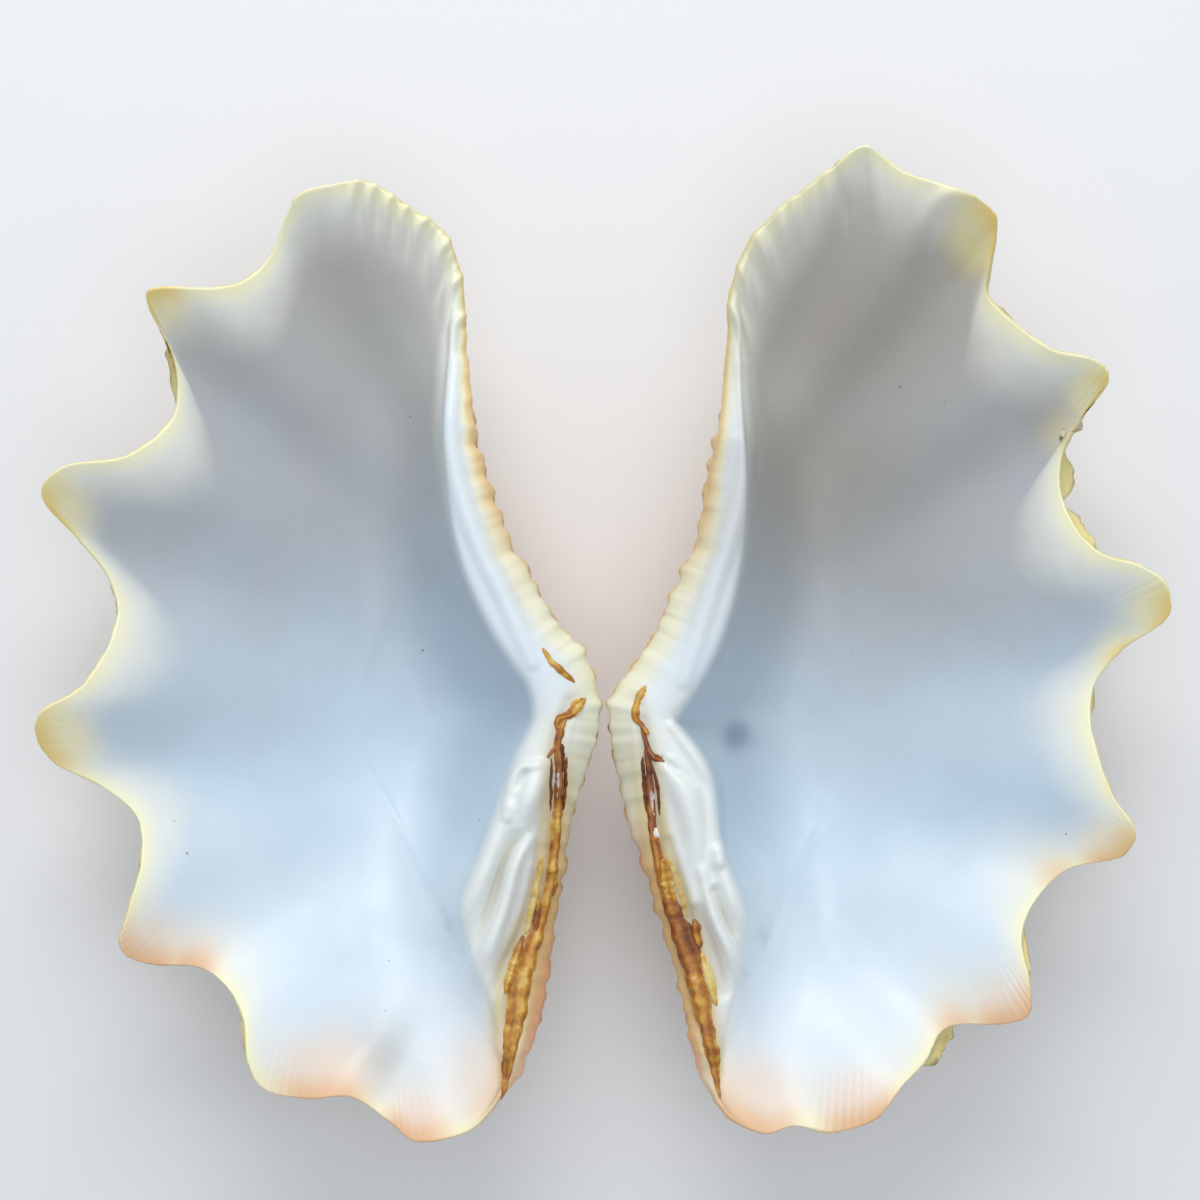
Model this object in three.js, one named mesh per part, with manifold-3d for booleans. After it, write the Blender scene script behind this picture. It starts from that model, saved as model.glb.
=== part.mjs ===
// A giant clam shell (a small Tridacna): its two valves lie on their backs side by side, hinge to hinge,
// hollow side up, each with the dried brown ligament still stuck in the groove behind its hinge teeth.
// Millimetres, +Z up. +Y runs to the byssal (front) end, +X to the right valve. The two umbos nearly touch.

import * as THREE from 'three';
import { mergeVertices } from 'three/addons/utils/BufferGeometryUtils.js';
import Module from 'manifold-3d';

const wasm = await Module();
wasm.setup();

// Driving dimensions.
const RIM_HEIGHT = 45; // mean height of the margin above the table
const BOWL_FLOOR = 7; // height of the hollow's deepest point
const FLOOR_THICKNESS = 9.8; // more than BOWL_FLOOR, so the underside is worn flat on the table
const MARGIN_THICKNESS = 2; // of the free margin with the lobes
const WALL_REACH = 22; // how far in from a thick lip the steep wall under it runs out
const LIP_DROP = 0.45; // fall of a lip or hinge plate to its outer edge, per mm of its width
const LIP_CROWN = 0.06; // crown of a lip or hinge plate, per mm of its width
const LIP_ROLL = 3; // power of the curve by which a lip rolls over to its outer edge
const THIN_LIP = 2.2; // a lip this narrow has no steep wall under it
const THICK_LIP = 6; // a lip this wide has its whole wall
const HINGE_GAP = 1.8; // between the two umbos
const LIGAMENT_THICKNESS = 2.2;
const LIGAMENT_SINK = 0.4; // of the ligament's middle below the face of the hinge plate
const LIGAMENT_BLUNTNESS = 6; // power of the curve that rounds the ligament's ends
const LIGAMENT_GAP = 0.35; // between the dried ligament and the walls of its groove

// How the folds and walls run out.
const FOLDS_START = 25; // distance from the umbo where the folds begin
const FOLDS_FULL = 95; // distance from the umbo where they have their whole lift
const HOLLOW_FOLD_POWER = 2.2; // the higher, the smoother the middle of the hollow
const OUTER_FOLD_SHARE = 0.3; // of a fold's lift that is left right at the bottom, outside
const OUTER_FOLD_POWER = 1.5;
const THICKNESS_POWER = 0.8; // the lower, the sooner the shell thins away from its bottom
const WALL_POWER = 2.2; // the higher, the later and steeper the inner wall turns up to a lip
const ROW_BUNCHING = 0.7; // share by which rows bunch up towards a steep wall

// Mesh density.
const SECTORS = 104;
const BOWL_ROWS = 8;
const STRIP_ROWS = 3;
const WALL_ROWS = 7;
const RIM_SAMPLES = 480; // stretches of rim that the walls and the plate's height are measured from
const LIGAMENT_SIDES = 8;
const LIGAMENT_STEPS = 22;

// The hollow without its folds: an oval dish. Its middle, then how far it is from there to the mean margin.
const DISH = { out: 34, along: 8, toMargin: 70, toFront: 97, toBack: 88, roundness: 0.45 };

// Each valve is drawn in its own plan: "out" runs from the umbo towards the far margin, "along" towards
// the byssal end. A rim row is [out, along, band]: a point of the outer edge and the width there of the
// lip or hinge plate. Rows run from the umbo up the byssal lip, round the lobes and back down the hinge.
// A fold row is [bearing from the umbo in degrees, lift]: ridges are +, grooves are -.
const LEFT = {
  name: 'left',
  side: -1,
  rim: [
    [0, 3, 13], [3.2, 14, 13], [9.2, 20.5, 12.5], [14.4, 29.6, 12],
    [18.4, 36.5, 11], [21.8, 46, 9], [25, 56.4, 6.5], [26.4, 70, 5],
    [27.4, 83, 4], [28.2, 91, 3.4], [31.5, 98.5, 3], [37.5, 102.8, 2.6],
    [46.5, 107.8, 2.2], [54.1, 107, 2], [61, 104.3, 2], [66.1, 94.4, 2],
    [70.9, 88.9, 2.2], [77, 86.7, 2], [88.5, 86.3, 1.6], [90.2, 83, 1.6],
    [86.5, 74, 1.8], [85.6, 66, 2], [87.5, 59.5, 2.2], [95, 53.2, 2],
    [106, 51, 1.6], [111, 45, 1.6], [105, 36.4, 1.8], [99.5, 28.5, 2],
    [98, 19.5, 2.2], [103, 7.9, 1.9], [111.5, 1.5, 1.6], [110, -7.5, 1.6],
    [101, -13.3, 1.8], [94, -19.5, 2], [92.4, -28, 2.2], [94.6, -38, 2],
    [96, -44.5, 1.6], [92, -48.5, 1.6], [80, -50.8, 2], [72.5, -58, 2.2],
    [70.5, -68, 2], [67, -73.6, 1.6], [58.5, -76, 1.6], [49.5, -76, 2],
    [42.5, -79.8, 1.8], [36.5, -84, 1.6], [26, -82, 2], [19, -75, 3],
    [14.8, -68.5, 5.5], [12, -60, 9.5], [10.4, -50.5, 15], [8.9, -39.5, 19.5],
    [7.4, -31, 17], [6.2, -21, 15], [3.6, -12.5, 14.5], [0.8, -4.5, 13],
  ],
  folds: [
    [16, 0], [27, 2], [34, -2], [42.5, 3.5], [50, -4], [60.5, 4], [72, -4.5], [86, 4], [97, -4],
    [109, 4], [120.5, -4], [131, 3.5], [144, -3], [150.5, 2], [158.8, -1], [165, 0],
  ],
  // [out, along, width] of the ligament, from the umbo down the hinge.
  ligament: [
    [5.8, 3.2, 2.6], [8.2, -2, 3.2], [8.6, -8, 3.6], [9, -17, 2.8], [10.2, -26, 3],
    [11, -35, 3.6], [14.2, -45, 5.4], [16.4, -53, 5.4], [16.8, -61, 3], [17.4, -68, 2],
  ],
};

const RIGHT = {
  name: 'right',
  side: 1,
  rim: [
    [0, 3.5, 13], [4.4, 10, 13], [9.2, 17, 13], [12.4, 24.4, 12.4],
    [16, 32, 11], [18.8, 40.5, 9], [20, 50, 7.5], [22.4, 61.5, 5],
    [24, 76, 4], [24.4, 86.5, 3.4], [28.2, 96.5, 3], [34.4, 103, 2.6],
    [42.8, 109.2, 2.2], [49.5, 114.2, 1.8], [53.5, 113, 1.8], [59, 109.2, 2.2],
    [67.5, 105.8, 2], [74, 103.6, 1.8], [77.6, 99.5, 1.6], [76.6, 91.5, 1.8],
    [76.4, 85.5, 2.2], [81.2, 79.8, 2.2], [88, 74.3, 2], [96.5, 72, 1.6],
    [99.8, 67.8, 1.6], [95.6, 61.2, 1.8], [92, 53.5, 2.2], [92.2, 43.5, 2.2],
    [97.5, 34.5, 2], [106, 31, 1.7], [110.8, 27, 1.6], [111.2, 20.4, 1.6],
    [103.5, 14, 1.8], [98.4, 6, 2.2], [97.8, -3, 2.2], [100.5, -14, 2],
    [104.8, -21.5, 1.6], [102.5, -27.3, 1.6], [93, -30.5, 1.8], [86, -37.5, 2],
    [83.2, -44, 2.2], [84.2, -52, 2], [83.8, -58.5, 1.6], [78.5, -61, 1.6],
    [68.5, -62.6, 2], [64, -68.5, 2.2], [58.5, -73.5, 2], [53, -79.5, 1.7],
    [45, -82.4, 1.7], [37, -81.6, 2], [30.5, -82.6, 2], [22.5, -78.3, 2.6],
    [17.6, -69, 5], [15.4, -59.5, 9], [12.6, -48.5, 15], [10, -40, 17],
    [7.6, -31.5, 15.5], [4.6, -22.5, 16.5], [2.2, -13, 18.5], [0.5, -5, 14],
  ],
  folds: [
    [15, 0], [22, 1.5], [26, 0], [31.8, 3], [38.5, -3.5], [49, 4], [58, -4.5], [70.8, 4], [84.5, -4],
    [96.8, 4], [109, -4], [119.8, 4], [132.5, -3.5], [142.8, 3.5], [154, -1.5], [161, 1], [167, 0],
  ],
  ligament: [
    [5.6, 3.6, 2.2], [6.4, -2, 3], [8.4, -7.5, 3.4], [9.6, -15, 3.6], [9.4, -23, 3.2],
    [12, -32, 4], [14.6, -41, 4.6], [16.6, -49, 4.4], [19, -57, 3.4], [21.2, -66, 2.6],
  ],
};

const shellMaterial = new THREE.MeshStandardMaterial({ color: '#e3e9ea', roughness: 0.42, metalness: 0 });
const ligamentMaterial = new THREE.MeshStandardMaterial({ color: '#93561c', roughness: 0.6, metalness: 0 });

const mix = THREE.MathUtils.lerp;
const smooth = THREE.MathUtils.smoothstep;

// Where the mesh's sectors meet, a plan point that sees the whole rim of either valve.
const SECTOR_CENTRE = new THREE.Vector3(50, 5, 0);

// The rim rows as one closed curve of (out, along, band).
function rimCurve(rows) {
  return new THREE.CatmullRomCurve3(rows.map((row) => new THREE.Vector3(...row)), true, 'catmullrom', 0.5);
}

// Lift of the ridge or groove that runs from the umbo through a plan point.
function foldLift(valve, out, along) {
  const rows = valve.folds;
  const bearing = THREE.MathUtils.radToDeg(Math.atan2(out, along));
  if (bearing <= rows[0][0] || bearing >= rows.at(-1)[0]) return 0;
  const next = rows.findIndex(([at]) => at > bearing);
  const [from, low] = rows[next - 1];
  const [to, high] = rows[next];
  return mix(low, high, smooth(bearing, from, to)) * smooth(Math.hypot(out, along), FOLDS_START, FOLDS_FULL);
}

// How far a plan point is from the middle of the dish (0) towards and past its mean margin (1).
function dishReach(out, along) {
  const end = along > DISH.along ? DISH.toFront : DISH.toBack;
  return Math.hypot((out - DISH.out) / DISH.toMargin, (along - DISH.along) / end);
}

// Height of the hollow, or of the outside under it, where no thick lip is near.
function dishHeight(valve, out, along, outside) {
  const reach = dishReach(out, along);
  const round = DISH.roundness;
  const rise = (Math.hypot(reach, round) - round) / (Math.hypot(1, round) - round);
  const height = mix(BOWL_FLOOR, RIM_HEIGHT, rise);
  const lift = foldLift(valve, out, along);
  if (!outside) return height + lift * Math.pow(reach, HOLLOW_FOLD_POWER);
  const thickness = mix(FLOOR_THICKNESS, MARGIN_THICKNESS, Math.pow(Math.min(reach, 1), THICKNESS_POWER));
  const share = OUTER_FOLD_SHARE + (1 - OUTER_FOLD_SHARE) * Math.pow(reach, OUTER_FOLD_POWER);
  return height - thickness + lift * share;
}

// Everything that a sector of the shell needs to know about its stretch of rim.
function rimAt(valve, turn) {
  const { x: out, y: along, z: band } = valve.curve.getPoint(turn);
  const tangent = valve.curve.getTangent(turn).setZ(0).normalize();
  const inward = new THREE.Vector3(tangent.y, -tangent.x, 0);
  const outer = new THREE.Vector3(out, along, 0);
  const inner = outer.clone().addScaledVector(inward, band);
  const walled = smooth(band, THIN_LIP, THICK_LIP);
  const innerRise = walled * (RIM_HEIGHT - dishHeight(valve, inner.x, inner.y, false));
  const outerRise = walled * (RIM_HEIGHT - LIP_DROP * band - dishHeight(valve, outer.x, outer.y, true));
  return { outer, inner, band, walled, innerRise, outerRise };
}

// Extra height that the steep walls under the thick lips give a plan point: the nearest, tallest one counts.
function wallHeight(valve, point, outside) {
  let height = 0;
  for (const rim of valve.walls) {
    const end = outside ? rim.outer : rim.inner;
    const reach = WALL_REACH + (outside ? rim.band : 0);
    const closeness = Math.max(0, 1 - Math.hypot(point.x - end.x, point.y - end.y) / reach);
    const share = outside ? 1 - Math.sqrt(1 - closeness ** 2) : closeness ** WALL_POWER;
    height = Math.max(height, share * (outside ? rim.outerRise : rim.innerRise));
  }
  return height;
}

// A point of the hollow (outside = false) or of the outside, at a row from the middle (0) to the edge (1).
function bowlPoint(valve, rim, row, outside) {
  const end = outside ? rim.outer : rim.inner;
  const share = mix(row, Math.sin(row * Math.PI / 2), ROW_BUNCHING * rim.walled);
  const point = SECTOR_CENTRE.clone().lerp(end, share);
  const rise = row === 1 ? (outside ? rim.outerRise : rim.innerRise) : wallHeight(valve, point, outside);
  const height = dishHeight(valve, point.x, point.y, outside) + rise;
  point.z = outside ? Math.max(0, height) : height;
  return point;
}

// A point of the lip or hinge plate: across runs from the hollow's edge (0) to the outer edge (1).
function stripPoint(valve, rim, across) {
  const inner = bowlPoint(valve, rim, 1, false);
  const outer = bowlPoint(valve, rim, 1, true);
  const point = inner.clone().lerp(outer, across);
  const crown = LIP_CROWN * rim.band * Math.sin(Math.PI * across);
  point.z = mix(inner.z, outer.z, Math.pow(across, LIP_ROLL)) + crown;
  return point;
}

// The whole skin of a valve as one closed sheet: row 0 is the bottom of the hollow, row 1 the underside.
function skinPoint(valve, turn, row) {
  const rim = rimAt(valve, turn);
  const rows = BOWL_ROWS + STRIP_ROWS + WALL_ROWS;
  const step = Math.round(row * rows);
  if (step <= BOWL_ROWS) return bowlPoint(valve, rim, step / BOWL_ROWS, false);
  if (step <= BOWL_ROWS + STRIP_ROWS) return stripPoint(valve, rim, (step - BOWL_ROWS) / STRIP_ROWS);
  return bowlPoint(valve, rim, (rows - step) / WALL_ROWS, true);
}

// From a valve's own plan to the shared frame, each valve on its own side of the hinge gap.
function place(valve, point) {
  return new THREE.Vector3(valve.side * (HINGE_GAP / 2 + point.x), point.y, point.z);
}

// Moves every vertex of a three.js sphere to where the mapping sends its turn (0..1) and row (0..1).
function shapeSphere(sectors, rows, mirrored, mapping) {
  const geometry = new THREE.SphereGeometry(1, sectors, rows);
  const { position, uv } = geometry.attributes;
  for (let i = 0; i < position.count; i += 1) {
    const row = Math.round((1 - uv.getY(i)) * rows) / rows;
    const polar = row === 0 || row === 1;
    const turn = polar ? 0 : (Math.round(uv.getX(i) * sectors) % sectors) / sectors;
    const point = mapping(mirrored ? (1 - turn) % 1 : turn, row);
    position.setXYZ(i, point.x, point.y, point.z);
  }
  geometry.deleteAttribute('normal');
  geometry.deleteAttribute('uv');
  return mergeVertices(geometry, 1e-4);
}

// The ligament, grown by a margin for the groove: an oval strand lying in the slope of the hinge plate.
function ligamentGeometry(valve, grow) {
  const spine = new THREE.CatmullRomCurve3(
    valve.ligament.map(([out, along]) => new THREE.Vector3(out, along, 0)));
  const widths = new THREE.CatmullRomCurve3(
    valve.ligament.map(([, , width]) => new THREE.Vector3(width, 0, 0)));
  const mapping = (turn, row) => {
    const at = spine.getPoint(row);
    const tangent = spine.getTangent(row);
    const round = Math.sqrt(Math.max(0, 1 - Math.pow(Math.abs(2 * row - 1), LIGAMENT_BLUNTNESS)));
    const halfWidth = (widths.getPoint(row).x / 2 + grow) * round;
    const halfHeight = (LIGAMENT_THICKNESS / 2 + grow) * round;
    const angle = turn * 2 * Math.PI;
    const sideways = new THREE.Vector3(-tangent.y, tangent.x, 0);
    const uphill = at.clone().add(sideways);
    const downhill = at.clone().sub(sideways);
    const slope = (plateHeight(valve, uphill.x, uphill.y) - plateHeight(valve, downhill.x, downhill.y)) / 2;
    const offset = halfWidth * Math.cos(angle);
    const point = at.clone().addScaledVector(sideways, offset);
    point.addScaledVector(tangent, grow * (2 * row - 1));
    const middle = plateHeight(valve, at.x, at.y) - LIGAMENT_SINK;
    point.z = middle + slope * offset + halfHeight * Math.sin(angle);
    return place(valve, point);
  };
  return shapeSphere(LIGAMENT_SIDES, LIGAMENT_STEPS, valve.side > 0, mapping);
}

// Height of the hinge plate under a plan point: the nearest sector of the plate gives it.
function plateHeight(valve, out, along) {
  let best = { distance: Infinity, height: 0 };
  for (const rim of valve.walls) {
    const span = rim.inner.clone().sub(rim.outer);
    const toPoint = new THREE.Vector3(out, along, 0).sub(rim.outer);
    const share = THREE.MathUtils.clamp(toPoint.dot(span) / span.lengthSq(), 0, 1);
    const distance = toPoint.sub(span.multiplyScalar(share)).length();
    if (distance < best.distance) best = { distance, height: stripPoint(valve, rim, 1 - share).z };
  }
  return best.height;
}

function toManifold(geometry) {
  const vertProperties = new Float32Array(geometry.attributes.position.array);
  const triVerts = new Uint32Array(geometry.index.array);
  return new wasm.Manifold(new wasm.Mesh({ numProp: 3, vertProperties, triVerts }));
}

function toGeometry(solid) {
  const mesh = solid.getMesh();
  const geometry = new THREE.BufferGeometry();
  geometry.setAttribute('position', new THREE.BufferAttribute(mesh.vertProperties, 3));
  geometry.setIndex(new THREE.BufferAttribute(mesh.triVerts, 1));
  return geometry;
}

function namedMesh(name, geometry, material) {
  geometry.computeVertexNormals();
  const mesh = new THREE.Mesh(geometry, material);
  mesh.name = name;
  return mesh;
}

// One half of the shell with its strip of dried ligament.
function buildValve(valve) {
  valve.curve = rimCurve(valve.rim);
  const rims = Array.from({ length: RIM_SAMPLES }, (_, i) => rimAt(valve, i / RIM_SAMPLES));
  valve.walls = rims.filter((rim) => rim.walled > 0);
  const rows = BOWL_ROWS + STRIP_ROWS + WALL_ROWS;
  const skin = shapeSphere(SECTORS, rows, valve.side > 0,
    (turn, row) => place(valve, skinPoint(valve, turn, row)));
  const grooved = toManifold(skin).subtract(toManifold(ligamentGeometry(valve, LIGAMENT_GAP)));
  const half = new THREE.Group();
  half.add(namedMesh(`valve_${valve.name}`, toGeometry(grooved), shellMaterial));
  half.add(namedMesh(`ligament_${valve.name}`, ligamentGeometry(valve, 0), ligamentMaterial));
  return half;
}

const shell = new THREE.Group();
shell.add(buildValve(LEFT), buildValve(RIGHT));

// The origin is under the middle of the pair, on the table.
const box = new THREE.Box3().setFromObject(shell);
const middle = box.getCenter(new THREE.Vector3());
shell.position.set(-middle.x, -middle.y, -box.min.z);

export default shell;
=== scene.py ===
# Giant clam shell: two valves on their backs, hinge to hinge, with dried ligament in the hinge grooves.
# Tables are in millimetres in each valve's own plan: "out" runs from the umbo to the far margin and
# "along" from the hinge to the byssal (front) end. Blender objects are in metres, in the CAD's frame.
import math

import bmesh
import bpy
import numpy as np
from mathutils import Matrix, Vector
from mathutils.bvhtree import BVHTree


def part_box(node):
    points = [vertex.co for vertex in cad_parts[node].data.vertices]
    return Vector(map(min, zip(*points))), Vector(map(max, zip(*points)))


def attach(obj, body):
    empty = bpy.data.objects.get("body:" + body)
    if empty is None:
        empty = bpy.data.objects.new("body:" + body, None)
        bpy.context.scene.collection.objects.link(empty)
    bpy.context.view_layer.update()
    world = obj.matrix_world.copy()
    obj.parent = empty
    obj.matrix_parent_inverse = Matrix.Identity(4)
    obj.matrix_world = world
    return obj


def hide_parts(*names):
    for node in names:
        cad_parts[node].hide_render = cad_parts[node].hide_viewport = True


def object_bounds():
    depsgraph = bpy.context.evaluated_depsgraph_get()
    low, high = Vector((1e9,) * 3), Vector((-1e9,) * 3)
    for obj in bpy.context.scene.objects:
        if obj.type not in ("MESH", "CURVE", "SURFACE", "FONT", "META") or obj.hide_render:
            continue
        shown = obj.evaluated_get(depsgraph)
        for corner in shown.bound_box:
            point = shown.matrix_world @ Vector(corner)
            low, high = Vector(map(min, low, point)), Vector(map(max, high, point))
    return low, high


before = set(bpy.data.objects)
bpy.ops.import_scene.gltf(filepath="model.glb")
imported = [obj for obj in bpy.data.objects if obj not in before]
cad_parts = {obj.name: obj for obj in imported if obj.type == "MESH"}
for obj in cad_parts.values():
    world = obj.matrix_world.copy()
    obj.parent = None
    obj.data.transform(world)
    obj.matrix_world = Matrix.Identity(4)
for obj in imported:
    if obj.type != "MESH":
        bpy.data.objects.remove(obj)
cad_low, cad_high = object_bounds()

MM = 0.001

# ---------------------------------------------------------------- driving sizes, as in the CAD

RIM_HEIGHT = 45.0
BOWL_FLOOR = 7.0
FLOOR_THICKNESS = 9.8
MARGIN_THICKNESS = 2.0
WALL_REACH = 22.0
LIP_DROP = 0.45
DISH = {"out": 34.0, "along": 8.0, "margin": 70.0, "front": 97.0, "back": 88.0, "round": 0.45}
SECTOR_CENTRE = np.array([53.0, -2.0])
FOLDS_START, FOLDS_FULL = 25.0, 95.0  # mm from the umbo where the folds begin, and where they are full
HOLLOW_FOLD_POWER = 2.2
OUTER_FOLD_SHARE, OUTER_FOLD_POWER = 0.3, 1.5
THICKNESS_POWER = 0.8
WALL_POWER = 2.2

# Finer shape that the CAD leaves out.
EDGE_SHARPNESS = 0.35  # how much of the CAD's edge thickness is left in plan where the margin is thin
WALL_BLEND = 3.0  # mm, softness of the join between the byssal wall and the hinge wall
LIP_CROWN = 0.06  # crown of the lip and plate, as a share of their width
SCALE_PITCH = 7.5  # mm between the leafy scales on the outer ribs
SCALE_STAND, SMOOTH_STAND = 2.6, 0.55  # mm that the scales stand out on a rib, and between the ribs
GROWTH_PITCH, GROWTH_STEP = 1.7, 0.22  # mm between the fine growth steps, and their height
FLANK_PITCH, FLANK_STEP = 5.6, 0.5  # mm between the lumps on the outer flanks, and their height
RIBLET_PITCH, RIBLET_HEIGHT = 1.9, 0.22  # mm, on the lobe tips
GROOVE_STAIN = 2.4  # width of the ochre stain, as a share of the groove's half width

# Mesh density. One valve is SECTORS x (BOWL_ROWS + STRIP_ROWS + WALL_ROWS) quads.
SECTORS = 820
BOWL_ROWS = 32
STRIP_ROWS = 24
WALL_ROWS = 64
ROWS = BOWL_ROWS + STRIP_ROWS + WALL_ROWS
RIM_ROW = BOWL_ROWS + STRIP_ROWS
BOWL_BUNCHING, WALL_BUNCHING = 1.6, 1.25  # above 1, the rows crowd towards the rim

# Rounds of smoothing along the rim, which keep the rows inside it free of the rim's kinks.
EDGE_CALMING, BUNCHING_CALMING, AIM_CALMING, HEIGHT_CALMING = 160, 80, 60, 40

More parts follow.
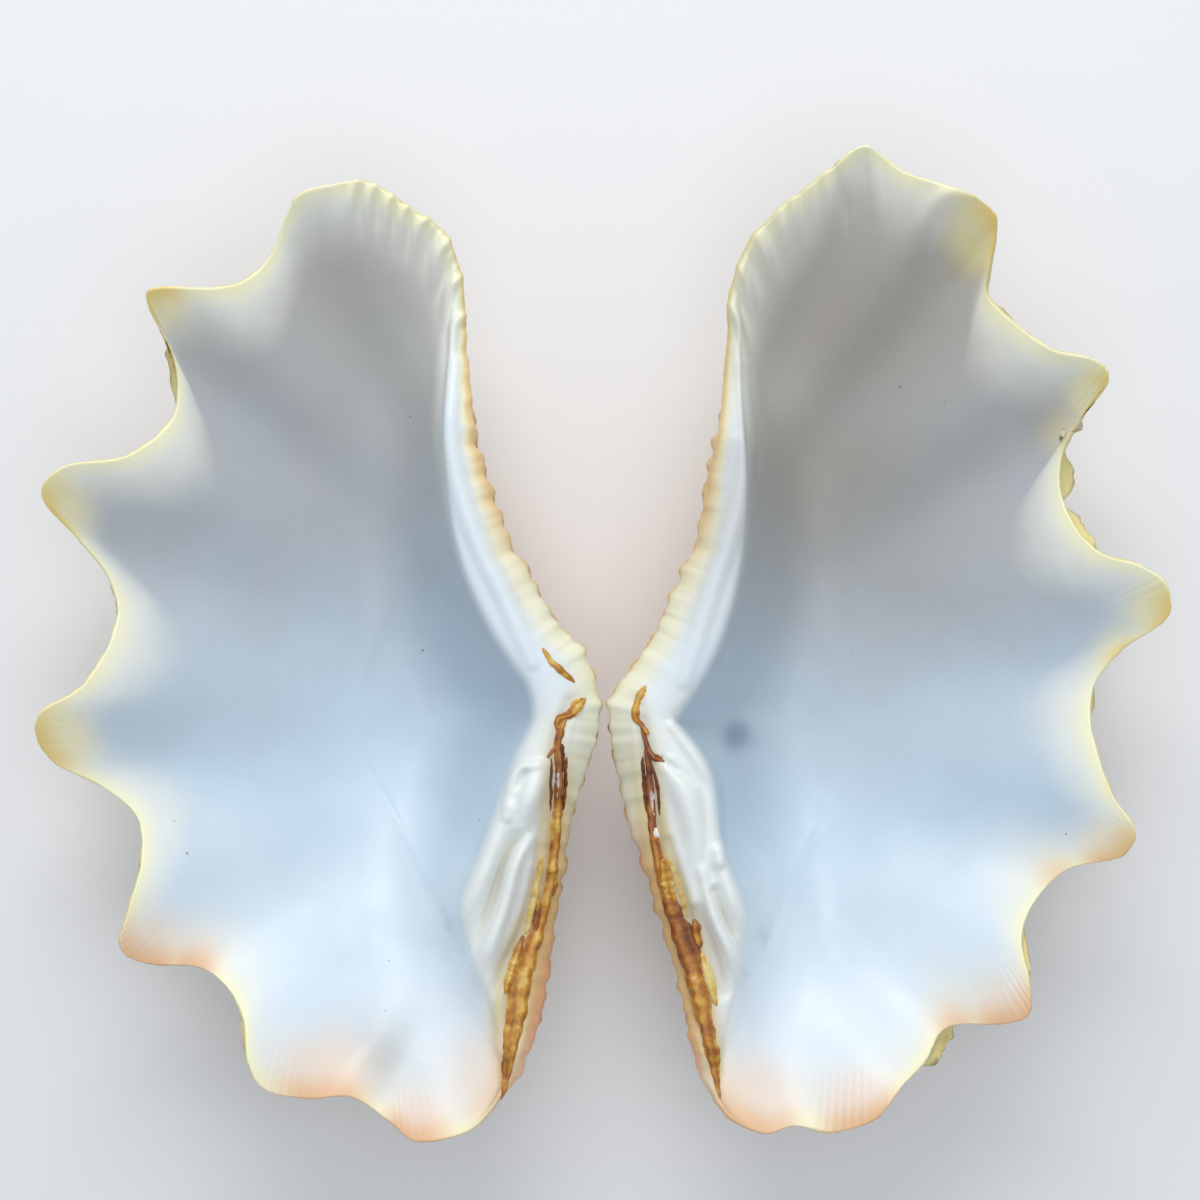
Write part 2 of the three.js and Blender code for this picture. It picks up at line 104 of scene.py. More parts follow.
# A rim row is [out, along, band]: a point of the outer edge, and the width of the lip or plate there.
# A fold row is [bearing from the umbo in degrees, lift]: ridges are +, grooves are -.
LEFT = {
    "name": "left",
    "side": -1,
    "rim": [
        [0, 3, 13], [3.2, 14, 13], [9.2, 20.5, 12.5], [14.4, 29.6, 12], [18.4, 36.5, 11], [21.8, 46, 9],
        [25, 56.4, 6.5], [26.4, 70, 5], [27.4, 83, 4], [28.2, 91, 3.4], [31.5, 98.5, 3],
        [37.5, 102.8, 2.6], [46.5, 107.8, 2.2], [54.1, 107, 2], [61, 104.3, 2], [66.1, 94.4, 2],
        [70.9, 88.9, 2.2], [77, 86.7, 2], [88.5, 86.3, 1.6], [90.2, 83, 1.6], [86.5, 74, 1.8],
        [85.6, 66, 2], [87.5, 59.5, 2.2], [95, 53.2, 2], [106, 51, 1.6], [111, 45, 1.6],
        [105, 36.4, 1.8], [99.5, 28.5, 2], [98, 19.5, 2.2], [103, 7.9, 1.9], [111.5, 1.5, 1.6],
        [110, -7.5, 1.6], [101, -13.3, 1.8], [94, -19.5, 2], [92.4, -28, 2.2], [94.6, -38, 2],
        [96, -44.5, 1.6], [92, -48.5, 1.6], [80, -50.8, 2], [72.5, -58, 2.2], [70.5, -68, 2],
        [67, -73.6, 1.6], [58.5, -76, 1.6], [49.5, -76, 2], [42.5, -79.8, 1.8], [36.5, -84, 1.6],
        [26, -82, 2], [19, -75, 3], [14.8, -68.5, 5.5], [12, -60, 9.5], [10.4, -50.5, 15],
        [8.9, -39.5, 19.5], [7.4, -31, 17], [6.2, -21, 15], [3.6, -12.5, 14.5], [0.8, -4.5, 13],
    ],
    "folds": [
        [16, 0], [27, 2], [34, -2], [42.5, 3.5], [50, -4], [60.5, 4], [72, -4.5], [86, 4], [97, -4],
        [109, 4], [120.5, -4], [131, 3.5], [144, -3], [150.5, 2], [158.8, -1], [165, 0],
    ],
    # Warm stains on the lobe tips: [out, along, radius, strength].
    "warm": [
        [88, 84.4, 7, 0.8], [108, 42.4, 7, 0.8], [109, -3.6, 8, 0.9], [91, -46.6, 8, 0.9],
        [82, -48.5, 6, 0.8], [56, -73.5, 11, 0.8], [37, -81.6, 8, 0.9], [22, -72, 12, 0.6],
    ],
    "scar_and_painted_shade": [],
    # Painted shade, brown-grey, in the deep front of the hollow and in the valley between the lower lobes:
    # [out, along, radius, strength].
    "painted_shade": [[44, 88, 16, 0.15], [44, -68, 8, 0.7]],
    # Leafy scales that stand out beyond a notch: [out, along, half length, stand].
    "leaves": [[86.5, 72, 7, 1.2], [99, 24, 8, 1.0], [93, -27, 7, 1.2], [71.5, -63, 7, 1.2]],
    # Tips with fine riblets: [out, along, radius, strength].
    "riblets": [
        [86, 83, 6, 1], [107, 47, 6, 1], [109, -2, 6, 0.7], [93, -44, 6, 0.8], [64, -73, 7, 0.9],
        [38, -79, 7, 0.8], [62, 101, 6, 0.6],
    ],
    # Strokes on the upper side, rows of [out, along, half width, height]: + is a ridge, - is a cut.
    "strokes": [
        # pleats round the byssal corner
        [[47.8, 108.4, 1.2, 0.9], [49.8, 104, 1.4, 0.9], [49.8, 99, 1.2, 0]],
        [[45, 106.6, 1.2, 1.1], [46.2, 104, 1.5, 1.1], [46.3, 97, 1.2, 0]],
        [[41.6, 105, 1.2, 1.2], [42.6, 102.6, 1.5, 1.2], [43.1, 95.5, 1.2, 0]],
        [[38.2, 103.4, 1.2, 1.2], [39.8, 101, 1.6, 1.3], [40.2, 94.5, 1.3, 0]],
        [[34.6, 101, 1.3, 1.2], [36.6, 98.8, 1.7, 1.4], [37.9, 92, 1.3, 0]],
        [[30.2, 97, 1.3, 1.2], [32.8, 93.4, 1.8, 1.4], [33.8, 86.5, 1.4, 0]],
        [[27.8, 90, 1.2, 1.0], [30.6, 86.6, 1.8, 1.4], [31.6, 79, 1.4, 0]],
        [[26.9, 82.4, 1.2, 0.9], [29.4, 79.6, 1.6, 1.2], [29.9, 72, 1.2, 0]],
        [[55, 107.4, 1.2, 0.7], [55.4, 102, 1.6, 0.6], [55, 95, 1.4, 0]],
        # grooves between the pleats
        [[47, 108, 1.1, -0.5], [48.2, 102.5, 1.2, -0.5], [48.2, 98, 1, 0]],
        [[43.6, 106.2, 1.1, -0.5], [44.6, 101.5, 1.2, -0.5], [44.7, 97, 1, 0]],
        [[40, 104.4, 1.1, -0.6], [41.2, 100.5, 1.3, -0.5], [41.7, 96, 1, 0]],
        [[36.6, 102.4, 1.2, -0.6], [38.2, 98.5, 1.4, -0.6], [39, 93, 1, 0]],
        [[32.4, 99.4, 1.3, -0.6], [34.8, 95.4, 1.5, -0.6], [35.8, 89, 1, 0]],
        [[28.6, 93.6, 1.2, -0.6], [31.6, 89.6, 1.5, -0.6], [32.6, 83, 1, 0]],
        # long groove down the byssal lip, and its inner crest
        [[25.6, 76, 0.9, -0.4], [24.4, 60, 1.1, -0.6], [19.4, 42, 1.3, -0.7], [11, 25, 1.3, -0.6],
         [5, 13, 1, 0]],
        [[29.4, 72, 2.2, 0.7], [30, 56, 2.6, 1.1], [26, 40, 3, 1.3], [18.6, 24, 3, 1.2],
         [13.6, 12, 2.4, 0.5]],
        # cardinal tooth with its small loop
        [[11.8, -9.4, 2.8, 1.4], [14.2, -15, 3.8, 3.2], [16.2, -21, 3.0, 1.4]],
        [[12.6, -8.4, 1.4, 0.8], [16.2, -9.6, 1.7, 1.9], [18, -14, 1.8, 1.6], [18.4, -19, 1.6, 1.0]],
        [[15, -9.8, 0.8, -1.0], [16.2, -13, 0.8, -0.9]],
        # lateral ridges and the groove between them
        [[18.6, -17, 2.2, 1.2], [21.2, -24, 3.0, 2.4], [23.8, -31, 3.2, 2.6], [27.4, -38, 3.4, 1.8],
         [31, -43.6, 4.2, 1.1], [33, -48, 4.2, 0.1]],
        [[14.2, -23.4, 1.6, 1.0], [17, -28.4, 2.2, 2.6], [18.8, -35, 2.6, 3.0], [21.6, -43.6, 2.6, 2.8],
         [23.4, -48.8, 2.6, 1.5], [24.6, -55, 2.8, 0]],
        [[16.6, -22.6, 1.8, -1.0], [19.6, -29.4, 2.0, -2.4], [21.4, -36, 2.3, -2.4],
         [23.6, -41.6, 2.4, -1.2], [26.4, -47, 2.6, 0]],
        # inner bound of the ligament
        [[11.6, -20, 1.2, -0.6], [13.4, -33, 1.6, -1.6], [15.8, -41.6, 1.8, -1.8],
         [19.6, -49.6, 1.8, -1.6], [21.2, -56, 1.4, 0]],
    ],
    "groove": [
        [5.8, 4, 1.8, -0.5], [8.4, -3, 2.2, -0.9], [8.6, -12, 2.4, -1.1], [9.4, -24, 2.4, -1.1],
        [11, -36, 2.6, -1.2], [15.4, -48, 3.6, -1.7], [17.4, -58, 3.4, -1.6], [18.8, -70, 2, -0.8],
    ],
}

RIGHT = {
    "name": "right",
    "side": 1,
    "rim": [
        [0, 3.5, 13], [4.4, 10, 13], [9.2, 17, 13], [12.4, 24.4, 12.4], [16, 32, 11], [18.8, 40.5, 9],
        [20, 50, 7.5], [22.4, 61.5, 5], [24, 76, 4], [24.4, 86.5, 3.4], [28.2, 96.5, 3],
        [34.4, 103, 2.6], [42.8, 109.2, 2.2], [49.5, 114.2, 1.8], [53.5, 113, 1.8], [59, 109.2, 2.2],
        [67.5, 105.8, 2], [74, 103.6, 1.8], [77.6, 99.5, 1.6], [76.6, 91.5, 1.8], [76.4, 85.5, 2.2],
        [81.2, 79.8, 2.2], [88, 74.3, 2], [96.5, 72, 1.6], [99.8, 67.8, 1.6], [95.6, 61.2, 1.8],
        [92, 53.5, 2.2], [92.2, 43.5, 2.2], [97.5, 34.5, 2], [106, 31, 1.7], [110.8, 27, 1.6],
        [111.2, 20.4, 1.6], [103.5, 14, 1.8], [98.4, 6, 2.2], [97.8, -3, 2.2], [100.5, -14, 2],
        [104.8, -21.5, 1.6], [102.5, -27.3, 1.6], [93, -30.5, 1.8], [86, -37.5, 2], [83.2, -44, 2.2],
        [84.2, -52, 2], [83.8, -58.5, 1.6], [78.5, -61, 1.6], [68.5, -62.6, 2], [64, -68.5, 2.2],
        [58.5, -73.5, 2], [53, -79.5, 1.7], [45, -82.4, 1.7], [37, -81.6, 2], [30.5, -82.6, 2],
        [22.5, -78.3, 2.6], [17.6, -69, 5], [15.4, -59.5, 9], [12.6, -48.5, 15], [10, -40, 17],
        [7.6, -31.5, 15.5], [4.6, -22.5, 16.5], [2.2, -13, 18.5], [0.5, -5, 14],
    ],
    "folds": [
        [15, 0], [22, 1.5], [26, 0], [31.8, 3], [38.5, -3.5], [49, 4], [58, -4.5], [70.8, 4], [84.5, -4],
        [96.8, 4], [109, -4], [119.8, 4], [132.5, -3.5], [142.8, 3.5], [154, -1.5], [161, 1], [167, 0],
    ],
    "warm": [
        [75.2, 97.5, 8, 0.9], [97.5, 65, 6, 0.9], [92, 58, 6, 0.5], [109, 22.4, 6, 0.8],
        [103, 14, 6, 0.6], [101.5, -26.5, 7, 0.9], [90, -31, 6, 0.5], [81, -59.6, 9, 0.9],
        [70, -61, 7, 0.6], [51, -79.8, 10, 0.9], [28, -78.5, 12, 0.8],
    ],
    # The dark, blue-grey muscle scar deep in the bowl, and a spot of faint blue painted shade nearer the
    # hinge end.
    "scar_and_painted_shade": [[26.6, -4, 4.0, 0.8], [29.5, -5, 3.4, 0.45], [25.2, -1.4, 2.2, 0.4], [48, -46, 15, 0.38]],
    # Painted shade, brown-grey, in the deep front of the hollow, under the byssal lip and beside the
    # lobes: [out, along, radius, strength].
    "painted_shade": [
        [48, 78, 26, 0.8], [44, 48, 28, 0.8], [74, 94.5, 9, 1.0], [89, 60, 6, 0.5], [64, 30, 14, 0.3],
    ],
    "leaves": [
        [80, 81, 9, 1.8], [91.6, 50, 6, 3.0], [95.5, 39, 8, 3.4], [98, 1, 9, 1.5], [84, -47, 8, 1.5],
        [66, -66, 7, 3.4],
    ],
    "riblets": [
        [97, 68, 6, 1], [108, 26, 6, 0.9], [101, -22, 6, 0.8], [81, -57, 7, 0.9], [50, -79, 7, 0.8],
        [73, 100, 5, 0.8],
    ],
    "strokes": [
        # pleats round the byssal corner
        [[43, 109, 1.4, 0.9], [44, 104, 1.8, 1.1], [45, 97, 1.6, 0]],
        [[36.6, 104.6, 1.3, 1.0], [37.4, 101, 1.6, 1.1], [38.4, 95, 1.4, 0]],
        [[33.8, 103, 1.2, 0.9], [34.8, 99, 1.5, 1.0], [35.6, 93, 1.3, 0]],
        [[29, 98.6, 1.2, 1.1], [31.6, 94, 1.6, 1.3], [33.2, 87, 1.4, 0]],
        [[25.8, 92, 1.2, 1.1], [28, 88, 1.5, 1.2], [29.4, 82, 1.3, 0]],
        [[24.5, 84, 1.2, 1.0], [26.4, 80, 1.5, 1.2], [27.8, 73, 1.3, 0]],
        [[51.5, 113.6, 1.5, 0.6], [53, 107, 2, 0.7], [54, 98, 1.8, 0]],
        [[44.8, 111, 1.4, -0.8], [47, 104.6, 1.8, -0.9], [48, 97, 1.5, 0]],
        [[38.2, 106, 1.3, -0.5], [39.6, 100, 1.6, -0.6], [40.4, 94, 1.3, 0]],
        [[31, 101, 1.2, -0.6], [33, 96.5, 1.4, -0.6], [34.4, 90, 1.2, 0]],
        [[27, 95.4, 1.2, -0.6], [29.6, 91, 1.4, -0.7], [31, 84.5, 1.2, 0]],
        [[24.8, 88, 1.1, -0.6], [26.8, 84.2, 1.4, -0.7], [28.4, 77.5, 1.2, 0]],
        # the crest beside the second lobe, and the pocket at its tip
        [[72, 104, 1.6, 0.6], [65.5, 103.6, 2.4, 1.6], [61.6, 97, 2.6, 1.2], [60, 88, 2.4, 0]],
        [[76.6, 98, 2.4, -0.9], [73, 92, 3.2, -1.1], [68, 84, 3, 0]],
        # long groove down the byssal lip, and its inner crest
        [[22.6, 72, 0.9, -0.4], [21.4, 58, 1.1, -0.6], [17.6, 42, 1.3, -0.7], [10.6, 26, 1.3, -0.6],
         [4.6, 13, 1, 0]],
        [[27, 72, 2.2, 0.7], [28, 56, 2.6, 1.1], [25.6, 42, 3, 1.3], [20.4, 26, 3, 1.2],
         [15, 8, 2.4, 0.5]],
        # plate edge, swelling tooth and its small groove
        [[12.8, -1, 1.8, 1.0], [17.4, -6.8, 2.4, 2.2], [20.8, -13, 2.6, 2.4], [21.4, -21, 2.4, 2.0],
         [21.6, -28, 2.2, 1.6]],
        [[12, -8.6, 2.6, 1.0], [15.4, -15, 4.0, 2.6], [17.6, -23, 3.8, 1.8], [18.4, -30, 2.8, 0.4]],
        [[10.6, -7.6, 1.0, -1.0], [13.8, -10, 1.2, -1.4], [17, -12.6, 1.0, -0.5]],
        # lateral ridges and the groove between them
        [[21.8, -26, 2.2, 1.6], [24.2, -34, 2.8, 2.6], [27.2, -40, 3.4, 1.9], [31.4, -45, 4.2, 1.2],
         [36, -50.6, 4.2, 0]],
        [[18.6, -30, 1.6, 1.0], [20.8, -38, 2.0, 2.4], [23.8, -45, 2.2, 2.6], [25.8, -50, 2.4, 1.2],
         [27.4, -53, 2.4, 0]],
        [[21.2, -34, 1.6, -1.4], [23.4, -40, 2.0, -2.0], [25.6, -44.6, 2.2, -0.8], [28, -49, 2.4, 0]],
        [[17.6, -38, 2.0, -1.2], [20.4, -46, 2.6, -2.4], [23.0, -54, 2.4, -1.2]],
        # inner bound of the ligament
        [[12, -24, 1.0, -0.7], [15.2, -36, 1.4, -1.5], [18.0, -46, 1.4, -1.4], [21.2, -57, 1.2, 0]],
    ],
    "groove": [
        [5.6, 4, 1.7, -0.5], [6.6, -2, 2.1, -0.9], [8, -12, 2.2, -1.1], [9.6, -24, 2.3, -1.1],
        [12, -34, 2.8, -1.4], [15.6, -46, 3.2, -1.6], [18.2, -58, 2.8, -1.4], [21.2, -70, 1.6, -0.7],
    ],
}


# ---------------------------------------------------------------- small maths

def mix(a, b, t):
    return a + (b - a) * t


def smooth(x, low, high):
    t = np.clip((x - low) / (high - low), 0.0, 1.0)
    return t * t * (3.0 - 2.0 * t)


def wave_noise(points, size, seed, octaves=3):
    """Smooth noise from -1 to 1 over an (..., n) array of places, with lumps of about that size."""
    rng = np.random.default_rng(seed)
    total = np.zeros(points.shape[:-1])
    for octave in range(octaves):
        for _ in range(4):
            direction = rng.normal(size=points.shape[-1])
            length = size * np.linalg.norm(direction)
            direction *= 2 ** octave * 2 * math.pi / length * rng.uniform(0.6, 1.2)
            total += np.sin(points @ direction + rng.uniform(0, 2 * math.pi)) / 2 ** octave
    return total / 5.0


def curve_through(rows, turns, closed):
    """Points and tangents of the uniform Catmull-Rom curve through the rows, at turns from 0 to 1."""
    rows = np.asarray(rows, float)
    count = len(rows) if closed else len(rows) - 1
    place = np.asarray(turns) * count
    first = np.minimum(place.astype(int), count - 1)
    t = (place - first)[:, None]
    if closed:
        a, b, c, d = (rows[(first + k) % len(rows)] for k in (-1, 0, 1, 2))
    else:
        ends = np.vstack([2 * rows[0] - rows[1], rows, 2 * rows[-1] - rows[-2]])
        a, b, c, d = (ends[first + k] for k in (0, 1, 2, 3))
    point = 0.5 * (2 * b + (c - a) * t + (2 * a - 5 * b + 4 * c - d) * t ** 2
                   + (3 * b - a - 3 * c + d) * t ** 3)
    slope = 0.5 * ((c - a) + 2 * (2 * a - 5 * b + 4 * c - d) * t + 3 * (3 * b - a - 3 * c + d) * t ** 2)
    return point, slope


# ---------------------------------------------------------------- the shape of a valve

def fold_lift(valve, plan):
    """Lift of the ridge or groove that runs from the umbo through each plan point."""
    bearing = np.degrees(np.arctan2(plan[..., 0], plan[..., 1]))
    at, lift = np.array(valve["folds"], float).T
    seg = np.clip(np.searchsorted(at, bearing) - 1, 0, len(at) - 2)
    share = smooth((bearing - at[seg]) / (at[seg + 1] - at[seg]), 0, 1)
    inside = (bearing > at[0]) & (bearing < at[-1])
    return np.where(inside, mix(lift[seg], lift[seg + 1], share), 0.0) * smooth(
        np.hypot(plan[..., 0], plan[..., 1]), FOLDS_START, FOLDS_FULL)


def dish_reach(plan):
    """How far a plan point is from the middle of the dish (0) towards and past its mean margin (1)."""
    end = np.where(plan[..., 1] > DISH["along"], DISH["front"], DISH["back"])
    return np.hypot((plan[..., 0] - DISH["out"]) / DISH["margin"], (plan[..., 1] - DISH["along"]) / end)


def dish_height(valve, plan, outside):
    reach = dish_reach(plan)
    rnd = DISH["round"]
    rise = (np.hypot(reach, rnd) - rnd) / (math.hypot(1, rnd) - rnd)
    height = mix(BOWL_FLOOR, RIM_HEIGHT, rise)
    lift = fold_lift(valve, plan)
    if not outside:
        return height + lift * reach ** HOLLOW_FOLD_POWER
    thickness = mix(FLOOR_THICKNESS, MARGIN_THICKNESS, np.minimum(reach, 1) ** THICKNESS_POWER)
    return height - thickness + lift * mix(OUTER_FOLD_SHARE, 1.0, reach ** OUTER_FOLD_POWER)


def sector_turns(valve):
    """Where the sectors meet the rim: closer together round the byssal corner and along the hinge."""
    turns = np.arange(6001) / 6000
    point, slope = curve_through(valve["rim"], turns % 1, True)
    corner = np.exp(-(np.hypot(point[:, 0] - 32, point[:, 1] - 96) / 26) ** 2)
    hinge = smooth(point[:, 2], 4, 10)
    pace = np.linalg.norm(slope[:, :2], axis=1) * (1 + 0.9 * corner + 0.5 * hinge)
    total = np.concatenate([[0], np.cumsum((pace[1:] + pace[:-1]) / 2)])
    placed = np.interp(np.arange(SECTORS) / SECTORS * total[-1], total, turns)
    return placed if valve["side"] < 0 else (1 - placed) % 1


def calmed(line, rounds, share=1.0):
    """A closed line of points with its kinks smoothed out, where the share is above 0."""
    calm = line.copy()
    for _ in range(rounds):
        calm = (np.roll(calm, 1, 0) + 2 * calm + np.roll(calm, -1, 0)) / 4
    return mix(line, calm, share)


def rim_of(valve):
    """Everything that the sectors of a valve need to know about the rim, one value per sector."""
    turns = sector_turns(valve)
    point, slope = curve_through(valve["rim"], turns, True)
    tangent = slope[:, :2] / np.linalg.norm(slope[:, :2], axis=1)[:, None]
    inward = np.stack([tangent[:, 1], -tangent[:, 0]], 1)
    walled = smooth(point[:, 2], 2.2, 6)
    to_centre = SECTOR_CENTRE - point[:, :2]
    facing = (to_centre * inward).sum(1) / np.linalg.norm(to_centre, axis=1)
    ragged = 0.30 * wave_noise(point[:, :2], 7.0, 3) + 0.16 * wave_noise(point[:, :2], 2.2, 4)
    ragged *= smooth(facing, 0.3, 0.8)
    lumpy = smooth(walled, 0.1, 0.6) * 0.55 * wave_noise(point[:, :2], 5.5, 5, 2)
    outer = point[:, :2] + inward * (ragged + lumpy)[:, None]
    band = point[:, 2] * mix(EDGE_SHARPNESS, 1.0, walled)
    inner = calmed(point[:, :2] + inward * band[:, None], EDGE_CALMING, walled[:, None])
    inner_rise = walled * (RIM_HEIGHT - dish_height(valve, inner, False))
    outer_rise = walled * (RIM_HEIGHT - LIP_DROP * band - dish_height(valve, outer, True))
    step = np.linalg.norm(np.roll(outer, -1, 0) - outer, axis=1)
    arc = np.concatenate([[0], np.cumsum(step)[:-1]])
    return {"outer": outer, "inner": inner, "band": band, "walled": walled, "turn": turns, "arc": arc,
            "inward": inward, "inner_rise": inner_rise, "outer_rise": outer_rise}


def wall_height(rim, plan, outside):
    """Extra height from the steep walls under the byssal lip and the hinge plate, softly joined."""
    heights = []
    for part in (rim["turn"] < 0.5, rim["turn"] >= 0.5):
        use = np.flatnonzero(part & (rim["walled"] > 0))[::2]
        end = (rim["outer"] if outside else rim["inner"])[use]
        reach = WALL_REACH + (rim["band"][use] if outside else 0.0)
        rise = (rim["outer_rise"] if outside else rim["inner_rise"])[use]
        best = np.zeros(plan.shape[:-1])
        for row in range(plan.shape[0]):
            apart = plan[row][:, None] - end[None]
            gap = np.hypot(apart[..., 0], apart[..., 1])
            close = np.clip(1 - gap / reach, 0, 1)
            share = 1 - np.sqrt(1 - close ** 2) if outside else close ** WALL_POWER
            best[row] = (share * rise).max(axis=1)
        heights.append(best)
    a, b = heights
    return (a + b + np.sqrt((a - b) ** 2 + WALL_BLEND ** 2) - WALL_BLEND) / 2 * ((a > 0) | (b > 0))


def relax_rows(height, rounds):
    """Smooths heights on a grid of rows and sectors, with the last row held."""
    for _ in range(rounds):
        side = (np.roll(height, 1, 1) + np.roll(height, -1, 1)) / 2
        ends = height.copy()
        ends[1:-1] = (height[:-2] + height[2:]) / 2
        ends[0] = height[0]
        height[:-1] = (0.5 * height + 0.4 * side + 0.1 * ends)[:-1]
        height[0] = height[0].mean()
    return height


def bowl_grid(valve, rim, shares, outside):
    """Rows of points from the sector centre to the rim, [row, sector, xyz]."""
    end = rim["outer"] if outside else rim["inner"]
    bunching = 0.7 * calmed(rim["walled"], BUNCHING_CALMING)
    share = mix(shares[:, None], np.sin(shares[:, None] * math.pi / 2), bunching[None])
    aim = mix(calmed(end, AIM_CALMING)[None], end[None], (shares ** 5)[:, None, None])
    plan = SECTOR_CENTRE + (aim - SECTOR_CENTRE) * share[..., None]
    rise = wall_height(rim, plan, outside)
    rise[-1] = rim["outer_rise"] if outside else rim["inner_rise"]
    rise = relax_rows(rise, HEIGHT_CALMING)
    height = dish_height(valve, plan, outside) + rise
    return np.concatenate([plan, height[..., None]], 2)


def strip_grid(rim, inner, outer, across):
    """The lip and hinge plate between the hollow's edge and the outer edge."""
    q = across[:, None]
    points = mix(inner[None], outer[None], q[..., None])
    points[..., 2] = mix(inner[None, :, 2], outer[None, :, 2], q ** 3)
    points[..., 2] += LIP_CROWN * rim["band"] * np.sin(math.pi * q)
    return points


def grid_normals(grid):
    """Unit normals of a closed grid of rows and sectors, pointing out of the shell."""
    across = np.roll(grid, -1, 1) - np.roll(grid, 1, 1)
    down = np.gradient(grid, axis=0)
    normal = np.cross(down, across)
    return normal / np.maximum(np.linalg.norm(normal, axis=2, keepdims=True), 1e-9)


def stroke_relief(plan, strokes):
    """Height at each plan point from ridges (+) and cuts (-), rows of [out, along, half width, height]."""
    relief = np.zeros(plan.shape[:-1])
    for rows in strokes:
        length = sum(math.dist(a[:2], b[:2]) for a, b in zip(rows, rows[1:]))
        turns = np.linspace(0, 1, max(8, int(length / 0.35)))
        line, _ = curve_through(rows, turns, False)
        pad = max(row[2] for row in rows)
        near = np.all((plan > line[:, :2].min(0) - pad) & (plan < line[:, :2].max(0) + pad), axis=-1)
        places = plan[near]
        if not len(places):
            continue
        apart = places[:, None] - line[None, :, :2]
        gap = np.hypot(apart[..., 0], apart[..., 1])
        best = (gap / line[None, :, 2]).argmin(axis=1)
        share = np.clip(gap[np.arange(len(best)), best] / line[best, 2], 0, 1)
        relief[near] += line[best, 3] * (1 - share ** 2) ** 2
    return relief


def spot_mask(plan, spots):
    """1 in the middle of each spot, fading out round it: rows are [out, along, radius, strength]."""
    mask = np.zeros(plan.shape[:-1])
    for out, along, radius, strength in spots:
        gap = np.hypot(plan[..., 0] - out, plan[..., 1] - along)
        mask = np.maximum(mask, strength * np.exp(-(gap / radius) ** 2))
    return mask


def outer_scales(valve, grid, facts, rim):
    """Outward flare of the leafy scales on the outer ribs, and of the fine growth steps between them."""
    depth = -facts["from_rim"] * facts["outside"]
    rib = smooth(-fold_lift(valve, grid[..., :2]), 0.2, 3.0)
    wander = 1.6 * wave_noise(rim["outer"], 30.0, 8, 2)[None]
    phase = (depth + wander + 3.0) / SCALE_PITCH
    saw = phase - np.floor(phase)
    leaf = (1 - np.abs(2 * saw - 1)) ** 1.5 * (1 + 0.3 * np.sin(2.1 * np.floor(phase)))
    flare = mix(SMOOTH_STAND, SCALE_STAND, rib) * leaf
    step = GROWTH_STEP * np.sin(2 * math.pi * (depth + wander) / GROWTH_PITCH)
    fade = smooth(depth, 0.3, 2.5) * smooth(grid[..., 2], 3.0, 14.0)
    walled = rim["walled"][None]
    return (flare * (1 - 0.6 * walled) + step + walled * flank_lumps(rim, depth)) * fade


def flank_lumps(rim, depth):
    """Lumpy growth folds down the outer flanks of the byssal lip and the umbo."""
    wander = 1.6 * wave_noise(rim["outer"], 14.0, 15, 2)[None]
    across = np.sin(2 * math.pi * rim["arc"][None] / FLANK_PITCH + 0.35 * depth + wander)
    uneven = 1 + 0.6 * wave_noise(rim["outer"], 18.0, 16, 2)[None]
    return FLANK_STEP * across * uneven * smooth(depth, 0.0, 3.0)


def leaf_flare(valve, facts, rim):
    """How far the leafy scales just under the rim stand out beyond it, at the notches that show them."""
    depth = -facts["from_rim"] * facts["outside"]
    reach = np.zeros(SECTORS)
    for out, along, half, stand in valve["leaves"]:
        gap = np.hypot(rim["outer"][:, 0] - out, rim["outer"][:, 1] - along)
        reach = np.maximum(reach, stand * (1 - smooth(gap, 0.4 * half, half)))
    reach *= 1 + 0.25 * wave_noise(rim["outer"], 5.0, 21, 2)
    return reach[None] * smooth(depth, 0.5, 2.2) * (1 - smooth(depth, 3.0, 9.0))


def valve_grid(valve):
    """The whole skin as rows and sectors, and the facts about each point that details and colours use."""
    rim = rim_of(valve)
    bowl_share = 1 - (1 - np.arange(BOWL_ROWS + 1) / BOWL_ROWS) ** BOWL_BUNCHING
    wall_share = 1 - (1 - np.arange(WALL_ROWS + 1) / WALL_ROWS) ** WALL_BUNCHING
    bowl = bowl_grid(valve, rim, bowl_share, False)
    wall = bowl_grid(valve, rim, wall_share, True)[::-1]
    strip = strip_grid(rim, bowl[-1], wall[0], np.arange(1, STRIP_ROWS) / STRIP_ROWS)
    grid = np.concatenate([bowl, strip, wall])
    return round_plate_edge(grid, rim), valve_facts(valve, grid, rim), rim


def round_plate_edge(grid, rim):
    """Lets the hinge plate, and more gently the byssal lip, run softly over into the hollow."""
    back = 1 - smooth(grid[BOWL_ROWS, :, 1], -4, 6)
    low_end = 1 - smooth(grid[BOWL_ROWS, :, 1], -48, -30)
    strength = smooth(rim["walled"], 0.05, 0.6) * (0.25 + 0.45 * back + 0.3 * low_end)
    for rounds, span in ((10, 9), (14, 6), (10, 4)):
        first, last = BOWL_ROWS - span, BOWL_ROWS + span + 1
        for _ in range(rounds):
            middle = (grid[first - 1:last - 1] + grid[first + 1:last + 1]) / 2
            grid[first:last] = mix(grid[first:last], middle, 0.5 * strength[None, :, None])
    return grid


